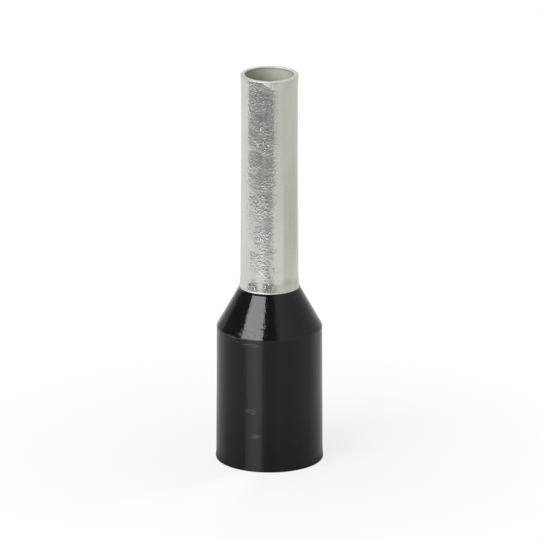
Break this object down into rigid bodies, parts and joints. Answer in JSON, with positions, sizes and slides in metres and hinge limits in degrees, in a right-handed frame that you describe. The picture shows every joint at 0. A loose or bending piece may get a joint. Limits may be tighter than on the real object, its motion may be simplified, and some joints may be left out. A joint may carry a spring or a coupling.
{
  "type": "wire ferrule",
  "caption": "Insulated wire ferrule: thin tinned copper sleeve with a black flared plastic collar, for ending a stranded wire.",
  "frame": {"origin": "centre of the collar's mouth, the face that the ferrule stands on", "axes": "+Z along the bore axis, from the mouth to the tip of the pin"},
  "size_m": [0.004, 0.004, 0.0145],
  "materials": {
    "tinned_copper": "satin, drawn, with faint specks",
    "black_plastic": "satin moulded"
  },
  "bodies": {
    "root": {"sleeve": "tinned_copper", "collar": "black_plastic"}
  },
  "joints": []
}
